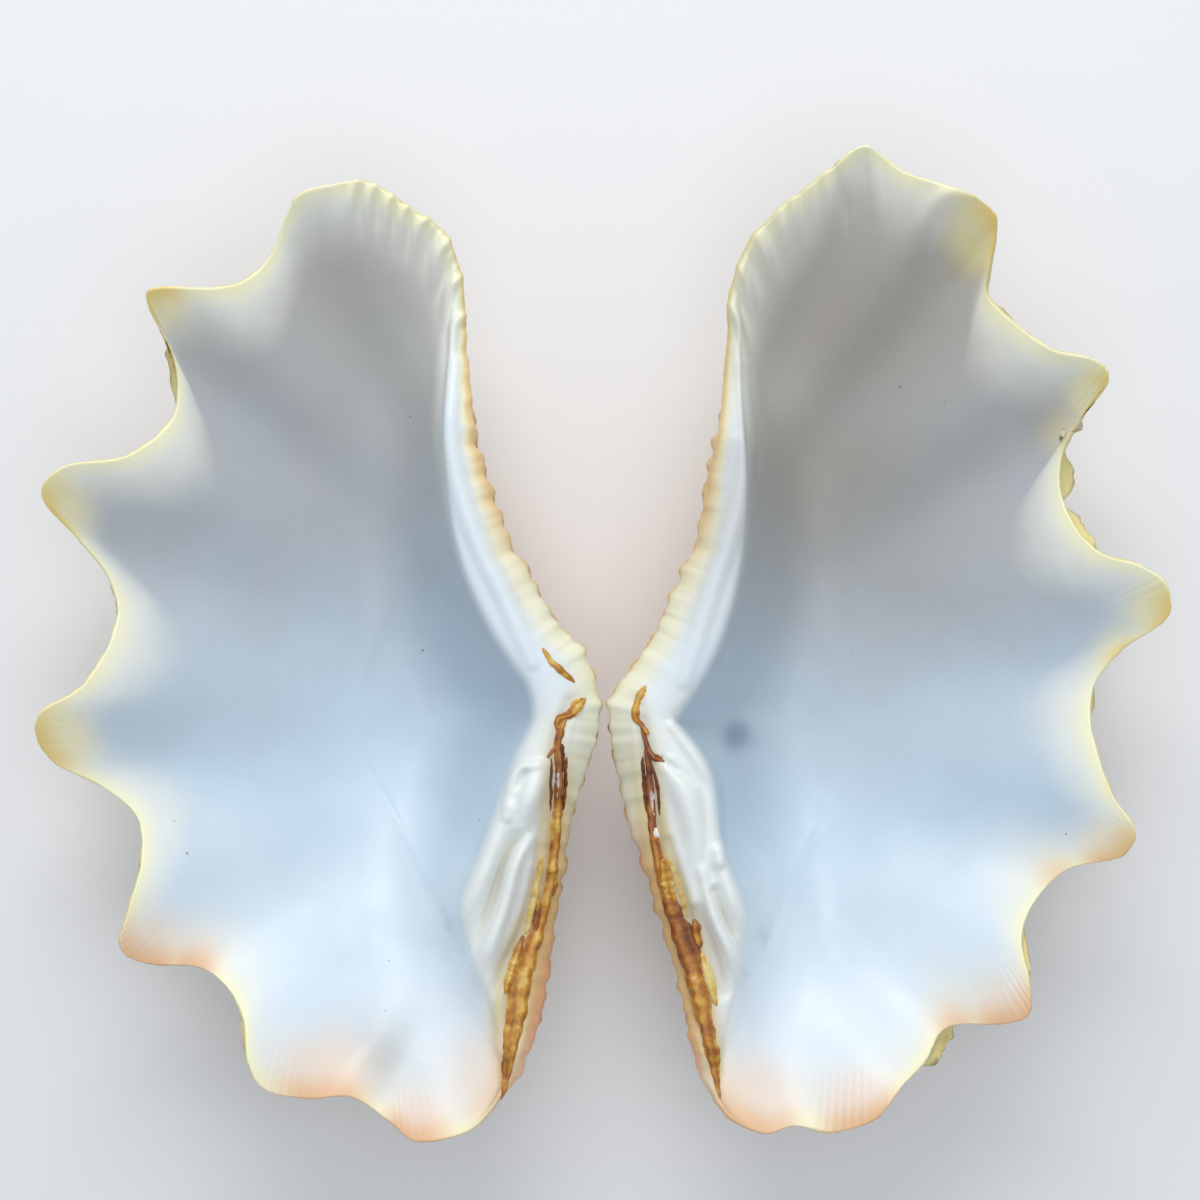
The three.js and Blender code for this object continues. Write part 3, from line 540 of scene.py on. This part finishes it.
def valve_facts(valve, grid, rim):
    """What the details and the colours need to know, one value for each row and sector."""
    rows = np.arange(ROWS + 1)[:, None] * np.ones((1, SECTORS))
    steps = np.linalg.norm(np.diff(grid, axis=0), axis=2)
    length = np.concatenate([np.zeros((1, SECTORS)), np.cumsum(steps, 0)])
    plan = grid[..., :2]
    upper = rows <= RIM_ROW
    back = 1 - smooth(plan[..., 1], -2, 12)
    edge = length[BOWL_ROWS][None] - length
    from_rim = length[RIM_ROW][None] - length
    plate = rim["walled"][None] * smooth(edge, 5.0, -0.5) * upper
    return {
        "from_rim": np.where(upper, from_rim, calmed(from_rim.T, AIM_CALMING).T),
        "outside": 1.0 - upper,
        "plate": plate * back,
        "lip": plate * (1 - back),
        "across": np.clip((rows - BOWL_ROWS) / STRIP_ROWS, 0, 1),
        "flank": rim["walled"][None] * (1.0 - upper),
        "warm": spot_mask(plan, valve["warm"]) * mix(1.0, 0.8, 1.0 - upper),
        # the muscle scar, and a spot of painted shade
        "scar_and_painted_shade": spot_mask(plan, valve["scar_and_painted_shade"]) * upper,
        # spots of painted shade
        "painted_shade": spot_mask(plan, valve["painted_shade"]) * upper,
        "front": plan[..., 1],
        "stain": stroke_relief(plan, [[
            [out, along, GROOVE_STAIN * half, 1.0] for out, along, half, _ in valve["groove"]]]) * upper,
    }


def detailed_grid(valve):
    """The skin with its listed relief, riblets and scales, in the shared frame in mm."""
    grid, facts, rim = valve_grid(valve)
    plan = grid[..., :2]
    upper = 1 - facts["outside"]
    placed = into_frame(valve, grid)
    normal = grid_normals(placed)
    relief = stroke_relief(plan, valve["strokes"]) * upper
    tips = spot_mask(plan, valve["riblets"]) * upper
    relief += RIBLET_HEIGHT * np.sin(2 * math.pi * rim["arc"] / RIBLET_PITCH)[None] * tips
    relief += 0.18 * wave_noise(placed, 16.0, 11, 2) * (1 - facts["plate"])
    relief += outer_scales(valve, grid, facts, rim) * facts["outside"]
    relief[0] = relief[0].mean()
    relief[-1] = 0
    upright = normal * 0.25 + np.array([0, 0, 0.75])
    push = np.where(facts["outside"][..., None] > 0, normal, upright)
    placed += push * relief[..., None]
    outward = rim["inward"] * [-valve["side"], -1]
    placed[..., :2] += leaf_flare(valve, facts, rim)[..., None] * outward[None]
    placed[..., 2] = np.maximum(placed[..., 2], 0.0)
    facts["relief"] = relief
    return placed, facts


def rolled_sheets(name, grids, facts):
    """Closed skins from grids of [row, sector, xyz]. Each starts flat, is rolled up, and is welded."""
    bm = bmesh.new()
    layers = [bm.verts.layers.float.new(key) for key in facts]
    for index, grid in enumerate(grids):
        rows, sectors = grid.shape[0] - 1, grid.shape[1]
        sheet = bmesh.ops.create_grid(bm, x_segments=sectors, y_segments=rows, size=1)["verts"]
        values = [fact[index] for fact in facts.values()]
        for vert in sheet:
            sector = round((vert.co.x + 1) / 2 * sectors) % sectors
            row = round((vert.co.y + 1) / 2 * rows)
            vert.co = Vector(grid[row, sector]) * MM
            for layer, value in zip(layers, values):
                vert[layer] = value[row, sector]
        edge = [vert for vert in sheet if vert.is_boundary]
        bmesh.ops.remove_doubles(bm, verts=edge, dist=1e-7)
    bmesh.ops.recalc_face_normals(bm, faces=bm.faces)
    for face in bm.faces:
        face.smooth = True
    mesh = bpy.data.meshes.new(name)
    bm.to_mesh(mesh)
    bm.free()
    obj = bpy.data.objects.new(name, mesh)
    bpy.context.scene.collection.objects.link(obj)
    return obj


def umbo_place(valve):
    """Where a valve's plan starts in the shared frame, in mm: its umbo and hinge end meet the CAD's."""
    low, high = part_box("valve_" + valve["name"])
    edge, _ = curve_through(valve["rim"], np.arange(2000) / 2000, True)
    return (high.x if valve["side"] < 0 else low.x) / MM, low.y / MM - edge[:, 1].min()


def into_frame(valve, grid):
    """From a valve's own plan to the shared frame, in mm."""
    placed = grid.copy()
    placed[..., 0] = valve["umbo"][0] + valve["side"] * grid[..., 0]
    placed[..., 1] = valve["umbo"][1] + grid[..., 1]
    return placed


# ---------------------------------------------------------------- dried ligament

# Strand rows are [out, along, width, tone]: 0 is straw, 0.4 is amber and 1 is dark brown.
LEFT_STRANDS = [
    [[5.8, 3.2, 1.4, 0.45], [8.4, -3, 1.7, 0.55], [8.4, -12, 2.0, 0.62], [9.2, -22, 2.6, 0.45],
     [10.6, -33, 2.9, 0.36], [13.4, -43, 3.8, 0.42], [16.2, -51, 5.2, 0.32], [17.2, -60, 4.2, 0.38],
     [18.6, -70, 2.2, 0.5], [19.8, -76, 1.4, 0.55]],
    [[11.6, 14.8, 0.9, 0.35], [9.4, 11.6, 1.4, 0.3], [7, 9.4, 1.3, 0.4], [5, 7.8, 0.8, 0.4]],
    [[2.8, 4.6, 1.3, 0.35], [4.4, 3.4, 2.6, 0.35], [6, 1.4, 1.6, 0.45], [8.4, 0.8, 1.2, 0.5],
     [8.8, -0.8, 1.2, 0.5], [7.8, -2, 1.2, 0.55], [8.4, -4.4, 1.4, 0.6]],
    [[8.4, -4.2, 0.9, 0.6], [10.6, -7.2, 0.7, 0.6]],
    [[7.8, -4.4, 1.4, 0.9], [7.9, -10.4, 1.5, 1.0]],
    [[9.8, -7.2, 0.7, 0.85], [10, -12, 0.9, 0.95], [10, -18, 0.7, 0.9]],
    [[6.8, -7, 0.6, 0.8], [7, -12, 0.8, 0.95], [7.4, -18, 0.7, 0.85]],
    [[9, -17.4, 2.0, 0.45], [9.3, -21.5, 2.8, 0.3], [9.2, -26, 2.0, 0.5]],
    [[9.6, -26.2, 1.6, 0.6], [9.8, -30.5, 2.6, 0.35], [9.8, -35.6, 1.8, 0.5]],
    [[11.6, -27, 0.8, 0.1], [13, -34, 1.3, 0.0], [15, -43, 1.0, 0.1]],
    [[12.6, -35.4, 1.4, 0.4], [13.2, -41, 2.0, 0.6], [13.4, -47, 1.6, 0.75]],
    [[15.4, -43, 1.2, 0.55], [17.4, -48.5, 1.8, 0.3], [19.2, -54.5, 1.2, 0.4]],
    [[14.6, -47, 1.2, 0.8], [15.4, -54, 1.8, 0.7], [16.2, -62, 1.2, 0.6]],
    [[17.4, -58, 2.2, 0.3], [18.2, -65, 2.4, 0.45], [19.4, -74, 1.4, 0.6]],
]
RIGHT_STRANDS = [
    [[6.4, 0, 1.4, 0.6], [8, -7, 1.8, 0.8], [8.6, -16, 2.2, 0.7], [9.4, -24, 2.2, 0.6],
     [11.8, -33, 3.8, 0.5], [15.2, -43, 5.2, 0.7], [18.2, -52, 5.4, 0.45], [20, -61, 3.8, 0.45],
     [21.4, -70, 2.2, 0.5], [22.4, -76, 1.2, 0.5]],
    [[7.6, 7, 1.3, 0.25], [6.2, 4.6, 1.7, 0.2], [5.2, 1.2, 1.6, 0.35], [6.8, -1, 1.1, 0.5],
     [8, -2.8, 1.5, 0.45]],
    [[7.6, -4.4, 1.5, 0.75], [8.9, -7, 1.6, 0.8], [11.2, -8.2, 0.7, 0.7]],
    [[6.8, -7.2, 0.7, 0.9], [7.1, -13, 0.9, 1.0], [7.8, -18.8, 0.7, 0.9]],
    [[8.7, -8.6, 0.7, 0.85], [9.7, -13, 0.9, 1.0], [10.3, -19, 0.7, 0.9]],
    [[8.8, -25, 0.8, 0.9], [11, -35, 1.0, 1.0], [14, -45.6, 0.8, 0.95]],
    [[11.2, -27.6, 2.4, 0.35], [12.4, -33, 3.4, 0.3], [13.4, -39, 2.2, 0.5]],
    [[12, -27.4, 0.7, 0.05], [14.2, -33.4, 1.0, 0.0], [15.8, -39.6, 0.7, 0.1]],
    [[14.2, -40, 2.0, 0.9], [15.8, -46, 3.2, 1.0], [17.2, -52, 2.0, 0.8]],
    [[17.2, -39.8, 1.4, 0.6], [17.8, -42.6, 2.4, 0.45], [18.4, -45.6, 1.4, 0.6]],
    [[18.6, -46.4, 1.2, 0.15], [20.2, -52, 2.0, 0.0], [21.6, -57, 1.0, 0.15]],
    [[16.8, -51, 2.0, 0.5], [17.8, -56, 3.0, 0.3], [18.6, -61, 2.0, 0.5]],
    [[18.8, -60.4, 1.6, 0.55], [20, -65, 2.2, 0.35], [21.4, -72, 1.2, 0.5]],
]
# Crumbs of pale dried tissue between the dark strands.
LEFT_CRUMBS = [
    [[8.2, -8.4, 0.9, 0.2], [8.7, -12, 1.5, 0.7], [8.6, -17, 1.0, 0.3]],
    [[9.4, -19.4, 0.7, 0.8], [9.6, -20.8, 0.8, 0.5]],
    [[11.2, -37.4, 0.8, 0.2], [12.2, -41, 1.3, 0.4], [12.4, -45, 0.8, 0.3]],
]
RIGHT_CRUMBS = [
    [[7.5, -8.2, 0.9, 0.4], [8.4, -12.6, 1.7, 0.8], [9.2, -19.6, 1.1, 0.3]],
    [[9.4, -21.4, 1.2, 0.0], [9.8, -23.6, 1.3, 0.1]],
    [[10, -25.2, 0.8, 0.4], [10.6, -27, 0.9, 0.3]],
]

STRAND_SECTORS = 28
STRAND_ROWS = 90


def strand_grid(valve, rows, ground, seed):
    """A flattened, uneven strand lying on the hinge plate: a closed skin of rows along its length."""
    turns = np.linspace(0, 1, STRAND_ROWS + 1)
    line, slope = curve_through(rows, turns, False)
    across = np.stack([-slope[:, 1], slope[:, 0]], 1)
    across /= np.linalg.norm(across, axis=1)[:, None]
    swell = 1 + 0.20 * wave_noise(line[:, :2], 3.0, seed)
    swell += 0.12 * wave_noise(line[:, :2], 1.1, seed + 1)
    half = line[:, 2] / 2 * swell * (1 - np.abs(2 * turns - 1) ** 6) ** 0.5
    sway = across * (0.18 * wave_noise(line[:, :2], 4.0, seed + 2))[:, None]
    centre = line[:, :2] + sway
    base = np.array([ground(place) for place in centre])
    angle = np.arange(STRAND_SECTORS) / STRAND_SECTORS * 2 * math.pi
    plan = centre[:, None] + (across * half[:, None])[:, None] * np.cos(angle)[None, :, None]
    ridged = 1 + 0.22 * np.cos(5 * angle + seed)[None] + 0.12 * wave_noise(plan, 0.9, seed + 3)
    lift = 0.42 * half[:, None] * np.sin(angle)[None] * ridged + np.minimum(0.18, 0.3 * half)[:, None]
    height = base[:, None] + lift
    grid = np.concatenate([plan, height[..., None]], 2)
    tone = line[:, 3][:, None] + 0.10 * np.sin(5 * angle + seed)[None]
    return into_frame(valve, grid), tone


def ground_finder(piece, valve):
    """Gives a function: the height of the shell's upper side, in mm, over a point of the valve's plan."""
    corners = [vert.co for vert in piece.data.vertices]
    tree = BVHTree.FromPolygons(corners, [face.vertices for face in piece.data.polygons])

    def ground(place):
        spot = into_frame(valve, np.array([[place[0], place[1], 0.0]]))[0]
        hit = tree.ray_cast(Vector((spot[0] * MM, spot[1] * MM, 0.2)), Vector((0, 0, -1)))[0]
        return hit.z / MM if hit else RIM_HEIGHT - 1

    return ground


def build_strands(name, valve, lines, ground, material, node, seed):
    """One piece of all the strands in the list. The node is the CAD's, which the piece stands for."""
    made = [strand_grid(valve, rows, ground, seed + 7 * k) for k, rows in enumerate(lines)]
    grids, tones = zip(*made)
    piece = rolled_sheets(name, grids, {"tone": tones})
    piece.data.materials.append(material)
    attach(piece, "root")
    if node:
        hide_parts(node)
    return piece


# ---------------------------------------------------------------- materials

def linear(hex_colour):
    """An sRGB hex colour as linear RGBA."""
    values = [int(hex_colour[i:i + 2], 16) / 255 for i in (1, 3, 5)]
    return [v / 12.92 if v <= 0.04045 else ((v + 0.055) / 1.055) ** 2.4 for v in values] + [1.0]


def add(tree, kind, inputs=(), out=0, stops=(), **settings):
    """Adds a node with its settings and links, and returns one of its outputs. An input that is a socket
    is linked, and any other is a value. Stops are the positions and hex colours of a colour ramp."""
    node = tree.nodes.new("ShaderNode" + kind)
    for key, value in settings.items():
        setattr(node, key, value)
    for key, value in inputs.items() if isinstance(inputs, dict) else enumerate(inputs):
        if isinstance(value, bpy.types.NodeSocket):
            tree.links.new(value, node.inputs[key])
        else:
            node.inputs[key].default_value = value
    for index, (at, tint) in enumerate(stops):
        elements = node.color_ramp.elements
        element = elements[index] if index < len(elements) else elements.new(at)
        element.position = at
        element.color = linear(tint)
    return node.outputs[out] if len(node.outputs) else None


def new_material(name):
    material = bpy.data.materials.new(name)
    material.use_nodes = True
    material.node_tree.nodes.clear()
    return material, material.node_tree


SHELL_FACTS = ("from_rim", "outside", "front", "plate", "lip", "across", "flank", "stain", "relief",
               "painted_shade", "warm", "scar_and_painted_shade")
SHELL_PATTERNS = {"cloud": (38.0, 3.0), "mottle": (7.0, 4.0), "grain": (0.9, 3.0)}  # mm and octaves
SPECK_SPACING = 13.0  # mm


def shell_material():
    """Aragonite of a beach-worn clam: chalky porcelain inside, cream margins, stained tips, and a rough
    outer side with warm growth bands. It has a soft, low gloss. Painted shade darkens the front of the
    hollow, its grooves and some spots, and the cream margins carry some painted glow."""
    material, tree = new_material("aragonite_shell")
    place = add(tree, "TexCoord", out="Object")
    know = {key: add(tree, "Attribute", out="Fac", attribute_name=key) for key in SHELL_FACTS}
    for key, (size, octaves) in SHELL_PATTERNS.items():
        know[key] = add(tree, "TexNoise", {"Vector": place, "Scale": 1000 / size, "Detail": octaves})
    know["specks"] = add(tree, "TexVoronoi", {"Vector": place, "Scale": 1000 / SPECK_SPACING})

    # Distances along the valve and from the rim, in mm, which wander by a pattern.
    wanders = {
        "sweep": ("cloud", 60.0, "front"),
        "far_rim": ("mottle", 5.0, "from_rim"),
        "mid_rim": ("mottle", 3.0, "from_rim"),
        "near_rim": ("mottle", 1.2, "from_rim"),
    }
    for key, (pattern, reach, base) in wanders.items():
        know[key] = add(tree, "Math", [know[pattern], reach, know[base]], operation="MULTIPLY_ADD")

    # Each fade runs softly from one value of what it reads to another: low, high, share at low, at high.
    fades = {
        "hollow": ("sweep", -60.0, 140.0, 0.0, 1.0),
        "pale": ("far_rim", 3.5, 24.0, 1.0, 0.0),
        "cream_and_glow": ("mid_rim", 2.0, 9.0, 0.85, 0.0),
        "gold": ("near_rim", 0.6, 3.0, 0.9, 0.0),
        "inner_lip": ("across", 0.45, 0.75, 0.9, 0.0),
        "outer_lip": ("across", 0.6, 0.98, 0.0, 0.85),
        "front_lip": ("front", 22.0, 48.0, 0.0, 1.0),
        "behind": ("across", 0.58, 0.84, 0.0, 0.9),
        "hinge_end": ("front", -16.0, -34.0, 0.0, 1.0),
        "ochre": ("stain", 0.15, 0.8, 0.0, 1.0),
        "ochre_end": ("front", 4.0, -22.0, 0.2, 0.7),
        # painted shade in the cuts, deeper cuts darker
        "groove_shade": ("relief", -0.2, -1.6, 0.0, 0.55),
        "north": ("front", -50.0, 10.0, 0.0, 1.0),
        "flush": ("warm", 0.05, 0.75, 0.0, 0.6),
        "amber": ("warm", 0.2, 0.85, 0.0, 1.0),
        "amber_rim": ("from_rim", 0.5, 9.0, 0.8, 0.0),
        "scar_and_shade_share": ("scar_and_painted_shade", 0.1, 0.9, 0.0, 0.7),
        "outer_gold": ("from_rim", -9.0, -0.5, 0.0, 0.7),
        "salmon": ("mottle", 0.35, 0.65, 0.25, 0.8),
        "speck": ("specks", 0.018, 0.030, 0.55, 0.0),
        "rough": ("mottle", 0.3, 0.7, 0.34, 0.50),
    }
    for key, (source, *limits) in fades.items():
        know[key] = add(tree, "MapRange", [know[source], *limits], interpolation_type="SMOOTHSTEP")
    know["inside"] = add(tree, "Math", [1.0, know["outside"]], operation="SUBTRACT")

    # Tints that change along the valve, from the first colour to the second.
    tints = {
        "lip_edge": ("front_lip", "#E9EAD2", "#EDC795"),
        "behind_ligament": ("hinge_end", "#E9E7CD", "#E5946A"),
        "tip_flush": ("north", "#F4D5BC", "#FAEBA6"),
        "tip_stain": ("north", "#DFA46C", "#EBC965"),
    }
    for key, (share, first, second) in tints.items():
        tints[key] = add(tree, "Mix", {0: know[share], 6: linear(first), 7: linear(second)}, out=2,
                         data_type="RGBA")

    # The outer side is cream with salmon and yellow growth bands, stretched along the rim.
    along = [add(tree, "Math", [know[key], stretch], operation="MULTIPLY")
             for key, stretch in (("from_rim", 0.16), ("mottle", 0.8))]
    bands = add(tree, "TexNoise", {"Vector": add(tree, "CombineXYZ", along), "Scale": 1.6, "Detail": 3.0})
    tints["growth"] = add(tree, "ValToRGB", [bands], stops=[
        (0.30, "#E5DCA8"), (0.45, "#EADFC4"), (0.58, "#E7C9A4"), (0.72, "#D79F6E")])

    # The hollow, with painted light and shade: bright, cool blue near the hinge end, where the bowl faces
    # the light, and greyer, darker and warmer towards the byssal end, where the upper wall faces away from
    # it.
    colour = add(tree, "ValToRGB", [know["hollow"]], stops=[
        (0.0, "#E4EDF2"), (0.15, "#DAE6EE"), (0.32, "#C2D4E0"), (0.52, "#BECAD3"), (0.72, "#B7BCBF"),
        (1.0, "#B8B5AE")])

    # The layers over it, from the bottom up: two shares that are multiplied, and a tint.
    for share, strength, tint in (
            ("pale", 1.0, "#ECECE0"),
            # cream margin colour, brightened as painted glow of light through the thin margin
            ("cream_and_glow", 1.0, "#FAF5C2"),
            ("gold", 1.0, "#E0CB5C"),
            ("plate", 0.9, "#E9ECE6"),
            ("lip", "inner_lip", "#DFE8EC"),
            ("lip", "outer_lip", "lip_edge"),
            ("plate", "behind", "behind_ligament"),
            ("ochre", "ochre_end", "#D3BB78"),
            ("groove_shade", "inside", "#C4BCA6"),  # painted shade: grey-tan in the grooves between the ridges, darker where they cut deeper
            ("painted_shade", 0.62, "#998B72"),  # painted shade: the deep front of a valve, whose upper wall faces away from the key light, and the valley between the lower lobes
            ("flush", 1.0, "tip_flush"),
            ("amber", "amber_rim", "tip_stain"),
            # blue-grey: the muscle scar, and painted shade in the bowl nearer the hinge end
            ("scar_and_shade_share", 1.0, "#7686A0"),
            ("outside", 1.0, "growth"),
            ("outside", "outer_gold", "#D9CC72"),
            ("flank", "salmon", "#E2AE7C"),
            ("speck", 1.0, "#5B5148")):  # dark specks of about 0.6 mm, a few to a valve
        both = add(tree, "Math", [know[share], know.get(strength, strength)], operation="MULTIPLY")
        top = tints[tint] if tint in tints else linear(tint)
        colour = add(tree, "Mix", {0: both, 6: colour, 7: top}, out=2, data_type="RGBA")

    rough = add(tree, "Math", [know["outside"], 0.25, know["rough"]], operation="MULTIPLY_ADD")
    lumps = add(tree, "Math", [know["mottle"], 1.2], operation="MULTIPLY")
    height = add(tree, "Math", [know["grain"], 0.5, lumps], operation="MULTIPLY_ADD")
    bump = add(tree, "Bump", {"Height": height, "Strength": 0.25, "Distance": 0.0003})
    shader = add(tree, "BsdfPrincipled", {"Base Color": colour, "Roughness": rough, "Normal": bump,
                                          "IOR": 1.53, "Specular IOR Level": 0.4})
    add(tree, "OutputMaterial", {"Surface": shader})
    return material


def ligament_material():
    """Dried ligament: brittle, horny protein, straw to amber to dark brown, with a resin gloss."""
    material, tree = new_material("dried_ligament")
    place = add(tree, "TexCoord", out="Object")
    tone = add(tree, "Attribute", out="Fac", attribute_name="tone")
    patch = add(tree, "TexNoise", {"Vector": place, "Scale": 1000 / 2.2, "Detail": 4.0})  # 2.2 mm patches
    change = add(tree, "MapRange", [patch, 0.3, 0.7, -0.22, 0.22])
    colour = add(tree, "ValToRGB", [add(tree, "Math", [tone, change], operation="ADD")], stops=[
        (0.0, "#D6C07A"), (0.2, "#D2A94A"), (0.42, "#B97A22"), (0.68, "#8E4F17"), (1.0, "#5C2D10")])
    bump = add(tree, "Bump", {"Height": patch, "Strength": 0.6, "Distance": 0.0003})
    shader = add(tree, "BsdfPrincipled", {"Base Color": colour, "Roughness": 0.36, "Normal": bump})
    add(tree, "OutputMaterial", {"Surface": shader})
    return material


def crumb_material():
    """Crumbs of dried tissue: chalky, mauve-grey to off-white."""
    material, tree = new_material("dried_tissue")
    place = add(tree, "TexCoord", out="Object")
    tone = add(tree, "Attribute", out="Fac", attribute_name="tone")
    patch = add(tree, "TexNoise", {"Vector": place, "Scale": 1000 / 1.1, "Detail": 4.0})  # 1.1 mm grains
    colour = add(tree, "ValToRGB", [add(tree, "Math", [tone, patch], operation="MULTIPLY")], stops=[
        (0.0, "#F0ECE4"), (0.2, "#DACFC6"), (0.45, "#B59C98"), (0.7, "#7C5A50")])
    bump = add(tree, "Bump", {"Height": patch, "Strength": 0.8, "Distance": 0.0003})
    shader = add(tree, "BsdfPrincipled", {"Base Color": colour, "Roughness": 0.75, "Normal": bump})
    add(tree, "OutputMaterial", {"Surface": shader})
    return material


# ---------------------------------------------------------------- pieces

def build_valve(valve, material):
    grid, facts = detailed_grid(valve)
    obj = rolled_sheets("shell_" + valve["name"], [grid], {key: [fact] for key, fact in facts.items()})
    obj.data.materials.append(material)
    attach(obj, "root")
    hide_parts("valve_" + valve["name"])
    return obj


FLOOR_SPAN = 40  # times the widest side of the object
FLOOR_GAP = 0.02  # mm below the shells, so that the two surfaces never flicker


def build_floor():
    bm = bmesh.new()
    bmesh.ops.create_grid(bm, x_segments=1, y_segments=1, size=FLOOR_SPAN * max(cad_high - cad_low) / 2)
    mesh = bpy.data.meshes.new("floor")
    bm.to_mesh(mesh)
    bm.free()
    floor = bpy.data.objects.new("floor", mesh)
    bpy.context.scene.collection.objects.link(floor)
    material, tree = new_material("pale_floor")
    shader = add(tree, "BsdfPrincipled", {"Base Color": linear("#EAEAEA"), "Roughness": 0.9})
    add(tree, "OutputMaterial", {"Surface": shader})
    mesh.materials.append(material)
    floor.location.z = -FLOOR_GAP * MM


# ---------------------------------------------------------------- camera and light

CAMERA_LENS = 100.0  # mm
SENSOR_WIDTH = 36.0  # mm
VIEW_WIDTH = 0.240  # m of the rim plane across the view
VIEW_CENTRE = Vector((-0.0009, 0.0092, RIM_HEIGHT * MM))


def build_camera():
    data = bpy.data.cameras.new("camera")
    data.lens = CAMERA_LENS
    data.sensor_width = SENSOR_WIDTH
    data.clip_start = 0.01
    camera = bpy.data.objects.new("camera", data)
    camera.location = VIEW_CENTRE + Vector((0, 0, VIEW_WIDTH * CAMERA_LENS / SENSOR_WIDTH))
    bpy.context.scene.collection.objects.link(camera)
    bpy.context.scene.camera = camera


def area_light(name, place, target, size, power, colour):
    data = bpy.data.lights.new(name, "AREA")
    data.shape = "DISK"
    data.size = size
    data.energy = power
    data.color = linear(colour)[:3]
    light = bpy.data.objects.new(name, data)
    light.location = place
    light.rotation_euler = (Vector(target) - Vector(place)).to_track_quat("-Z", "Y").to_euler()
    bpy.context.scene.collection.objects.link(light)


def build_lights():
    world = bpy.data.worlds.new("studio")
    world.use_nodes = True
    background = world.node_tree.nodes["Background"]
    background.inputs["Color"].default_value = linear("#E3EAF4")
    background.inputs["Strength"].default_value = 0.62
    bpy.context.scene.world = world
    area_light("key", (-0.05, 0.72, 0.62), (0, 0, 0.03), size=0.7, power=5.0, colour="#FFFFFF")
    area_light("fill", (0.1, -0.1, 1.1), (0, 0, 0.02), size=0.8, power=2.4, colour="#F6F9FF")


# ---------------------------------------------------------------- the whole object

STRAND_SEED, CRUMB_SEED = 20, 60

build_camera()
build_lights()
build_floor()
shell = shell_material()
ligament = ligament_material()
tissue = crumb_material()
for valve, strands, crumbs in ((LEFT, LEFT_STRANDS, LEFT_CRUMBS), (RIGHT, RIGHT_STRANDS, RIGHT_CRUMBS)):
    valve["strokes"].append(valve["groove"])
    valve["umbo"] = umbo_place(valve)
    piece = build_valve(valve, shell)
    ground = ground_finder(piece, valve)
    name = valve["name"]
    build_strands("ligament_strands_" + name, valve, strands, ground, ligament, "ligament_" + name,
                  STRAND_SEED)
    build_strands("tissue_crumbs_" + name, valve, crumbs, ground, tissue, None, CRUMB_SEED)

bpy.context.scene.view_settings.view_transform = "Standard"
